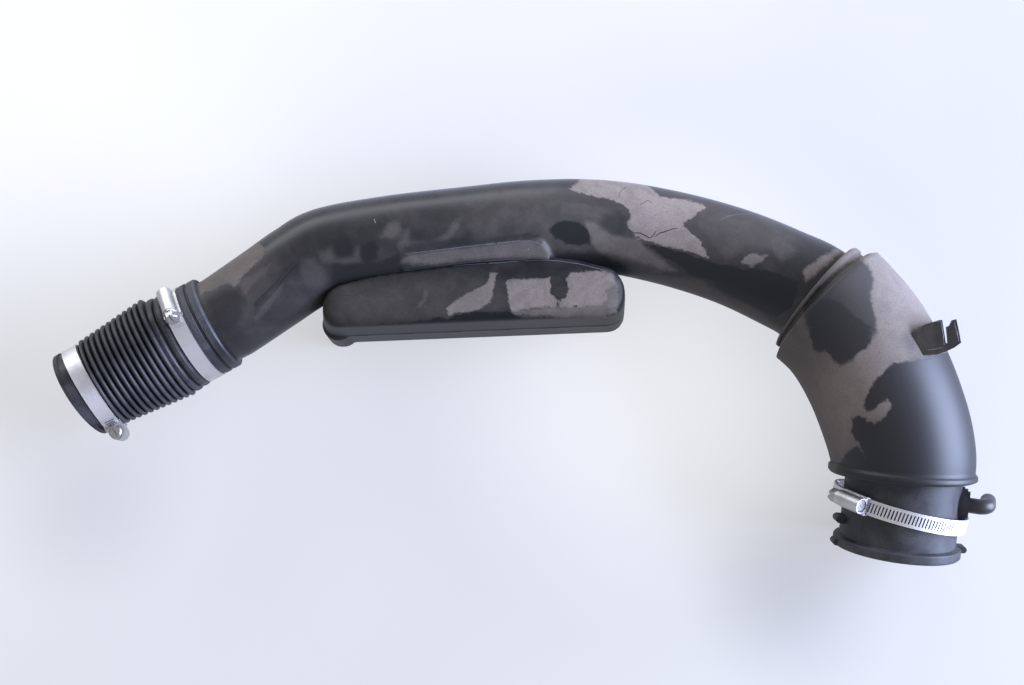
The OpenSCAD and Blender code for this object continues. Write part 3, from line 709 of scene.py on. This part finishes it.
# Cleaned patches; some are painted shade, taking dust off where shade falls: chamber_front_shade,
# pipe_low_shade and beside_clip
CLEANED_AND_SHADED = {
    "pipe_oval": (0.97, [(549, 229), (558, 222), (572, 220), (583, 224), (590, 236), (590, 243),
        (580, 246), (566, 244), (554, 238)]),
    "pipe_square": (0.62, [(602, 214), (618, 212), (627, 216), (627, 228), (622, 235), (612, 232),
        (603, 226)]),
    "pipe_streak": (0.95, [(643, 244), (662, 247), (680, 252), (700, 258), (712, 262), (730, 266),
        (750, 270), (775, 272), (800, 282), (792, 306), (776, 318), (748, 304), (725, 292), (708, 280),
        (690, 275), (676, 263), (660, 254)]),
    "pipe_blot_a": (0.70, [(331, 242), (344, 239), (353, 246), (351, 256), (340, 258), (332, 252)]),
    "pipe_blot_b": (0.80, [(362, 246), (374, 240), (380, 246), (376, 258), (366, 264), (360, 256)]),
    "pipe_blot_c": (0.55, [(410, 232), (424, 230), (428, 236), (418, 240), (410, 238)]),
    "pipe_blot_d": (0.60, [(456, 240), (468, 232), (474, 238), (470, 247), (458, 248)]),
    "pipe_blot_e": (0.50, [(500, 224), (514, 220), (518, 232), (508, 240), (498, 236)]),
    "pipe_blot_f": (0.35, [(522, 230), (534, 224), (540, 232), (532, 240), (522, 238)]),
    "pipe_blot_g": (0.60, [(282, 270), (292, 262), (300, 264), (292, 276), (282, 282)]),
    # Painted shade: the dark band along the chamber's front edge
    "chamber_front_shade": (0.92, [(326, 331), (360, 327), (400, 323), (440, 318), (448, 319), (455, 315),
        (480, 311), (508, 312), (516, 317), (525, 314), (520, 321), (500, 323), (470, 326), (440, 329),
        (400, 333), (360, 337), (330, 338)]),
    "chamber_back_edge": (0.50, [(500, 269), (530, 263), (575, 264), (578, 268), (560, 273), (540, 277),
        (510, 279), (502, 276)]),
    "chamber_back_spot": (0.50, [(579, 264), (590, 264), (593, 268), (586, 270)]),
    "elbow_top": (0.80, [(806, 301), (815, 291), (830, 277), (845, 265), (858, 258), (868, 263),
        (874, 275), (872, 290), (871, 300), (876, 318), (877, 330), (872, 343), (866, 350), (858, 352),
        (850, 362), (841, 366), (832, 358), (825, 352), (815, 352), (812, 345), (812, 335), (806, 325),
        (803, 312)]),
    "elbow_wiped": (0.95, [(893, 364), (905, 361), (918, 360), (932, 356), (950, 350), (985, 380),
        (996, 430), (992, 490), (900, 490), (836, 476), (836, 467), (848, 452), (858, 446), (866, 460),
        (860, 446), (852, 432), (852, 417), (862, 415), (868, 421), (876, 423), (886, 415), (893, 406),
        (887, 398), (880, 404), (873, 411), (865, 412), (862, 404), (868, 392), (878, 378), (886, 368)]),
    "elbow_spot": (0.35, [(882, 304), (888, 303), (889, 308), (884, 309)]),
    "elbow_nick": (0.50, [(789, 326), (794, 320), (796, 328), (791, 333)]),
    # Painted shadow of the clip on the elbow
    "beside_clip": (0.40, [(902, 336), (914, 328), (918, 352), (908, 354)]),
    "elbow_top_low": (0.92, [(806, 306), (818, 298), (832, 300), (846, 306), (858, 318), (872, 326),
        (872, 343), (866, 350), (858, 352), (850, 362), (841, 366), (832, 358), (825, 352), (815, 352),
        (811, 340)]),
    "pipe_line_left": (0.75, [(254, 304), (262, 296), (276, 282), (288, 272), (296, 262), (298, 265),
        (284, 280), (268, 294), (256, 308)]),
    "pipe_above_land": (0.72, [(401, 246), (440, 240), (456, 238), (480, 240), (500, 236), (530, 232),
        (540, 236), (530, 240), (500, 242), (455, 247), (403, 255)]),
    "pipe_left_dark": (0.60, [(206, 300), (222, 292), (238, 290), (246, 300), (242, 318), (230, 334),
        (216, 330)]),
    "pipe_under": (0.80, [(330, 262), (350, 264), (380, 262), (398, 254), (400, 270), (380, 276),
        (350, 284), (334, 284)]),
    # Painted shade on the pipe's underside, facing the chamber
    "pipe_low_shade": (0.70, [(552, 250), (600, 252), (640, 262), (660, 270), (640, 276), (600, 274),
        (556, 262)]),
}
# Thin lines, each with its width in mm: cracks and scratches through the dust, and painted highlights
# along edges with a few painted glints
PIPE_CRACKS = [
    ([(628, 229), (634, 233), (640, 233), (644, 235), (650, 238), (653, 236), (656, 231)], 0.6),
    ([(655, 237), (660, 233), (667, 231), (672, 229), (678, 228)], 0.6),
    ([(619, 198), (619, 194), (622, 190), (625, 188), (628, 185)], 0.35),
    ([(640, 205), (648, 200), (652, 203)], 0.35),
    ([(254, 304), (261, 297), (268, 291), (276, 284), (283, 276), (290, 268), (297, 262)], 0.8),
    ([(262, 305), (270, 296), (279, 287)], 0.3),
]
# Painted highlights: the land's top edge, the pipe's right top edge and small glints
PIPE_HIGHLIGHT_LINES = [
    ([(404, 254), (430, 251), (455, 248), (480, 245), (500, 243), (516, 241), (530, 241), (538, 243),
      (545, 248), (551, 257)], 0.5),
    ([(720, 220), (728, 216), (740, 214), (752, 214)], 0.3),
    ([(374, 219), (375.5, 223)], 0.7),
    ([(527, 249), (529, 250)], 0.8),
]
# Painted highlights along the chamber's back top edge, and glints on its right end
CHAMBER_HIGHLIGHT_LINES = [
    ([(334, 284), (350, 281), (370, 277), (380, 275), (400, 272), (425, 269), (450, 266), (475, 264),
      (500, 262.5), (520, 261)], 0.6),
    ([(520, 261), (540, 260), (560, 261), (580, 264), (600, 269), (612, 276), (618, 288)], 0.45),
    ([(604, 314), (605.5, 318)], 0.9),
    ([(609, 312), (610, 314)], 0.6),
    ([(594, 292), (595, 293)], 0.6),
]
# Painted highlights along the clip's edges
CLIP_HIGHLIGHT_LINES = [
    ([(917, 331), (924, 324), (932, 322), (941, 321)], 0.5),
    ([(941, 322), (943, 334), (944, 345)], 0.5),
    ([(926, 350), (936, 349), (943, 347)], 0.4),
    ([(954, 322), (957, 333), (959, 342)], 0.5),
]
# Broad soft dust, where it is wiped off, and shade: place, reach across and down the picture, amount
HAZE = {
    "elbow_all": (890, 330, 120, 180, 0.50),
    "collar": (820, 290, 60, 60, 0.36),
    "pipe_left_end": (225, 285, 50, 40, 0.10),
    "pipe_grey": (640, 225, 190, 42, 0.09),
    "chamber": (400, 300, 120, 26, 0.08),
}
WIPED = {
    "elbow_right": (942, 425, 42, 70, 0.60),
    "elbow_middle": (882, 440, 30, 30, 0.30),
    "elbow_left": (815, 330, 34, 60, 0.30),
    "elbow_lip": (895, 508, 130, 46, 0.92),
    "elbow_collar": (812, 300, 26, 70, 0.35),
}
RING_DUST = (190, 300, 20, 34, 0.26)
RING_SIDE_DUST = (205, 320, 12, 40, 0.14)
PORT_SHADE = (951, 503, 15, 19, 0.9)
RIM_DUST = (880, 552, 70, 12, 0.05)
# Where the pipe is wiped bright along its far edge: a line and its reach, in pixels
SHINE_LINE = [
    (240, 254), (262, 238), (290, 219), (322, 204), (360, 196), (420, 190), (480, 184), (540, 179)
]
SHINE_REACH = 20
# Distances from an outline are kept within this, in pixels
FAR = 12.0


def line_distance(points, line):
    """How far each point lies from a line of straight stretches, in pixels."""
    best = np.full(len(points), 1e9)
    corners = np.array(line, float)
    for a, b in zip(corners[:-1], corners[1:]):
        ab = b - a
        t = np.clip(((points - a) @ ab) / (ab @ ab), 0, 1)
        best = np.minimum(best, np.linalg.norm(points - a - t[:, None] * ab, axis=1))
    return best


def inside_distance(points, outline):
    """How far each point lies inside an outline, in pixels; negative outside it."""
    corners = np.array(outline, float)
    best = line_distance(points, list(corners) + [corners[0]])
    inside = np.zeros(len(points), bool)
    for a, b in zip(corners, np.roll(corners, -1, axis=0)):
        crosses = (a[1] > points[:, 1]) != (b[1] > points[:, 1])
        if a[1] != b[1]:
            x = a[0] + (points[:, 1] - a[1]) * (b[0] - a[0]) / (b[1] - a[1])
            inside ^= crosses & (points[:, 0] < x)
    return np.where(inside, best, -best)


def write_attribute(obj, name, values):
    made = obj.data.attributes.new(name, "FLOAT", "POINT")
    made.data.foreach_set("value", np.asarray(values, np.float32))


def soft_spot(seen, spot):
    """The amount of a soft round spot at each place in the picture."""
    x, y, reach_x, reach_y, amount = spot
    away = ((seen[:, 0] - x) / reach_x) ** 2 + ((seen[:, 1] - y) / reach_y) ** 2
    return amount * np.exp(-away * away)


def paint_outlines(obj, prefixes, names, patches):
    """Writes how far each point lies inside the patches, and the share of the strongest patch there."""
    seen = in_photo(points_of(obj))
    facing = normals_of(obj) @ -FORWARD > 0.05
    inside = np.full(len(seen), -FAR)
    share = np.zeros(len(seen))
    best = np.full(len(seen), -np.inf)
    for key, (amount, outline) in patches.items():
        if key.startswith(prefixes):
            away = inside_distance(seen, outline)
            rank = np.where(away > 0, FAR + amount, away)
            share = np.where(rank > best, amount, share)
            best = np.maximum(best, rank)
            inside = np.maximum(inside, away)
    write_attribute(obj, names[0], np.where(facing, np.clip(inside, -FAR, FAR), -FAR))
    write_attribute(obj, names[1], share)


def paint(obj, prefixes, haze=(), wiped=()):
    """Writes the dust, and the cleaned and painted shade patches, whose names start with one of the
    prefixes on the mesh.
    """
    paint_outlines(obj, prefixes, ("patch", "level"), DUSTY)
    paint_outlines(obj, prefixes, ("clean_and_shade", "clean_and_shade_share"), CLEANED_AND_SHADED)
    seen = in_photo(points_of(obj))
    value = np.zeros(len(seen))
    for key in haze:
        value = np.maximum(value, soft_spot(seen, HAZE[key]))
    for key in wiped:
        value *= 1 - soft_spot(seen, WIPED[key])
    write_attribute(obj, "haze", value)


# Pieces


def make_pipe(material):
    pipe = moulded("pipe_body", "main_duct", *PIPE_GRID)
    true_round(pipe, pipe_radius, AT_PIPE_END)
    paint(pipe, ("pipe", "land"), ("pipe_left_end", "pipe_grey"))
    away = line_distance(in_photo(points_of(pipe)), SHINE_LINE)
    write_attribute(pipe, "shine", np.clip(1.4 - away / SHINE_REACH, 0, 1))
    pipe.data.materials.append(material)
    return give(pipe, ROOT, "duct_plastic", "main_duct")


def make_chamber(material):
    chamber = moulded("chamber_body", "resonator_chamber", *CHAMBER_GRID)
    paint(chamber, ("chamber",), ("chamber",))
    chamber.data.materials.append(material)
    return give(chamber, ROOT, "chamber_plastic", "resonator_chamber")


def soft_profile(points, step, radius_step):
    """The same profile with more points: long stretches are divided."""
    made = []
    for (u0, r0), (u1, r1) in zip(points, points[1:] + points[:1]):
        n = max(1, int(math.ceil(abs(u1 - u0) / step)), int(math.ceil(abs(r1 - r0) / radius_step)))
        made += [(u0 + (u1 - u0) * k / n, r0 + (r1 - r0) * k / n) for k in range(n)]
    return made


def make_elbow(material):
    profile = soft_profile(ELBOW_OUTER + ELBOW_INNER, *PROFILE_STEP)
    vertices, faces = tube([route_ring(u, r, ELBOW_SIDES) for u, r in profile], True)
    elbow = mesh_object("elbow_body", vertices, faces, material)
    paint(elbow, ("elbow", "beside_clip"), ("elbow_all", "collar"), tuple(WIPED))
    return give(elbow, ROOT, "elbow_plastic", "outlet_elbow")


def dress(node, material):
    """A CAD node that keeps its shape, with its own material. A share not written on it counts as 0."""
    obj = NODES[node]
    obj.data.materials.clear()
    obj.data.materials.append(material)
    return obj


def dress_hose(material):
    """The hose, with how deep each point lies in the grooves, which sets the painted shade there, and the
    dust on the crests.
    """
    hose = dress("bellows_hose", material)
    seat = HOSE_SEAT - MIDDLE + BEND_AT * HOSE_DIR
    along = heading_of(BELLOWS_YAW, BELLOWS_PITCH)
    side = np.cross([0, 0, 1], along)
    start = seat + BELLOWS_SHIFT * side / np.linalg.norm(side)
    v = points_of(hose) / MM - start
    z = v @ along
    radius = np.linalg.norm(v - z[:, None] * along, axis=1)
    crest = FOLD_WIDE_R + (FOLD_NARROW_R - FOLD_WIDE_R) * (z - FOLDS_FROM) / FOLDS_LEN
    on_folds = (z > FOLDS_FROM - 0.5) & (z < FOLDS_FROM + FOLDS_LEN)
    depth = np.clip((crest - radius - GROOVE_FROM) / GROOVE_DEPTH, 0, 1)
    write_attribute(hose, "painted_shade", np.where(on_folds, depth, 0))
    crests = CREST_DUST * np.clip(1 - (crest - radius) / CREST_DEPTH, 0, 1)
    seen = in_photo(points_of(hose))
    on_ring = np.maximum(soft_spot(seen, RING_DUST), soft_spot(seen, RING_SIDE_DUST))
    write_attribute(hose, "haze", np.where(on_folds, crests, on_ring))


def dress_cuff(material):
    """The cuff, with painted shade beside the breather's port and dust on its rim."""
    cuff = dress("filter_cuff", material)
    seen = in_photo(points_of(cuff))
    write_attribute(cuff, "painted_shade", soft_spot(seen, PORT_SHADE))
    write_attribute(cuff, "haze", soft_spot(seen, RIM_DUST))


# Scene

make_camera()
light_scene()
make_floor()

duct_plastic = dusty_plastic("duct_plastic", 0.05, specular=0.38, rim=0.3)
chamber_plastic = dusty_plastic("chamber_plastic", 0.045, specular=0.16, rim=0.06)
elbow_plastic = dusty_plastic("elbow_plastic", 0.02, gloss=0.47, rim=0.10)
clip_plastic = dusty_plastic("clip_plastic", 0.10)
fitting_plastic = dusty_plastic("fitting_plastic", 0.05)
hose_rubber = rubber("hose_rubber", (0.012, 0.012, 0.015), (0.24, 0.235, 0.25), 0.15, 0.34)
cuff_rubber = rubber("cuff_rubber", (0.012, 0.012, 0.014), (0.28, 0.275, 0.285), 0.14, 0.42)
band_zinc = zinc("band_zinc", (0.80, 0.77, 0.77), (0.56, 0.53, 0.51), 0.48)
housing_zinc = zinc("housing_zinc", (0.66, 0.64, 0.63), (0.42, 0.40, 0.38), 0.40)
screw_zinc = zinc("screw_zinc", (0.54, 0.52, 0.50), (0.34, 0.31, 0.28), 0.36)
crack_dirt = plain("crack_dirt", (0.020, 0.018, 0.020), 0.8)
# Light grey for the painted highlight lines
painted_edge_highlight = plain("painted_edge_highlight", (0.17, 0.17, 0.19), 0.6)

pipe = make_pipe(duct_plastic)
chamber = make_chamber(chamber_plastic)
ribbons("pipe_cracks", pipe, PIPE_CRACKS, crack_dirt, "duct_plastic")
ribbons("pipe_highlight_lines", pipe, PIPE_HIGHLIGHT_LINES, painted_edge_highlight, "duct_plastic")
ribbons("chamber_highlight_lines", chamber, CHAMBER_HIGHLIGHT_LINES, painted_edge_highlight, "chamber_plastic")
make_elbow(elbow_plastic)
dress_hose(hose_rubber)
dress_cuff(cuff_rubber)
dress("breather_elbow", fitting_plastic)
clip = dress("pipe_clip", clip_plastic)
ribbons("clip_highlight_lines", clip, CLIP_HIGHLIGHT_LINES, painted_edge_highlight, "duct_plastic")
for clamp in ("end", "duct", "filter"):
    dress(f"{clamp}_clamp_band", band_zinc)
    dress(f"{clamp}_clamp_housing", housing_zinc)
    dress(f"{clamp}_clamp_screw", screw_zinc)

bpy.context.scene.view_settings.view_transform = "Standard"
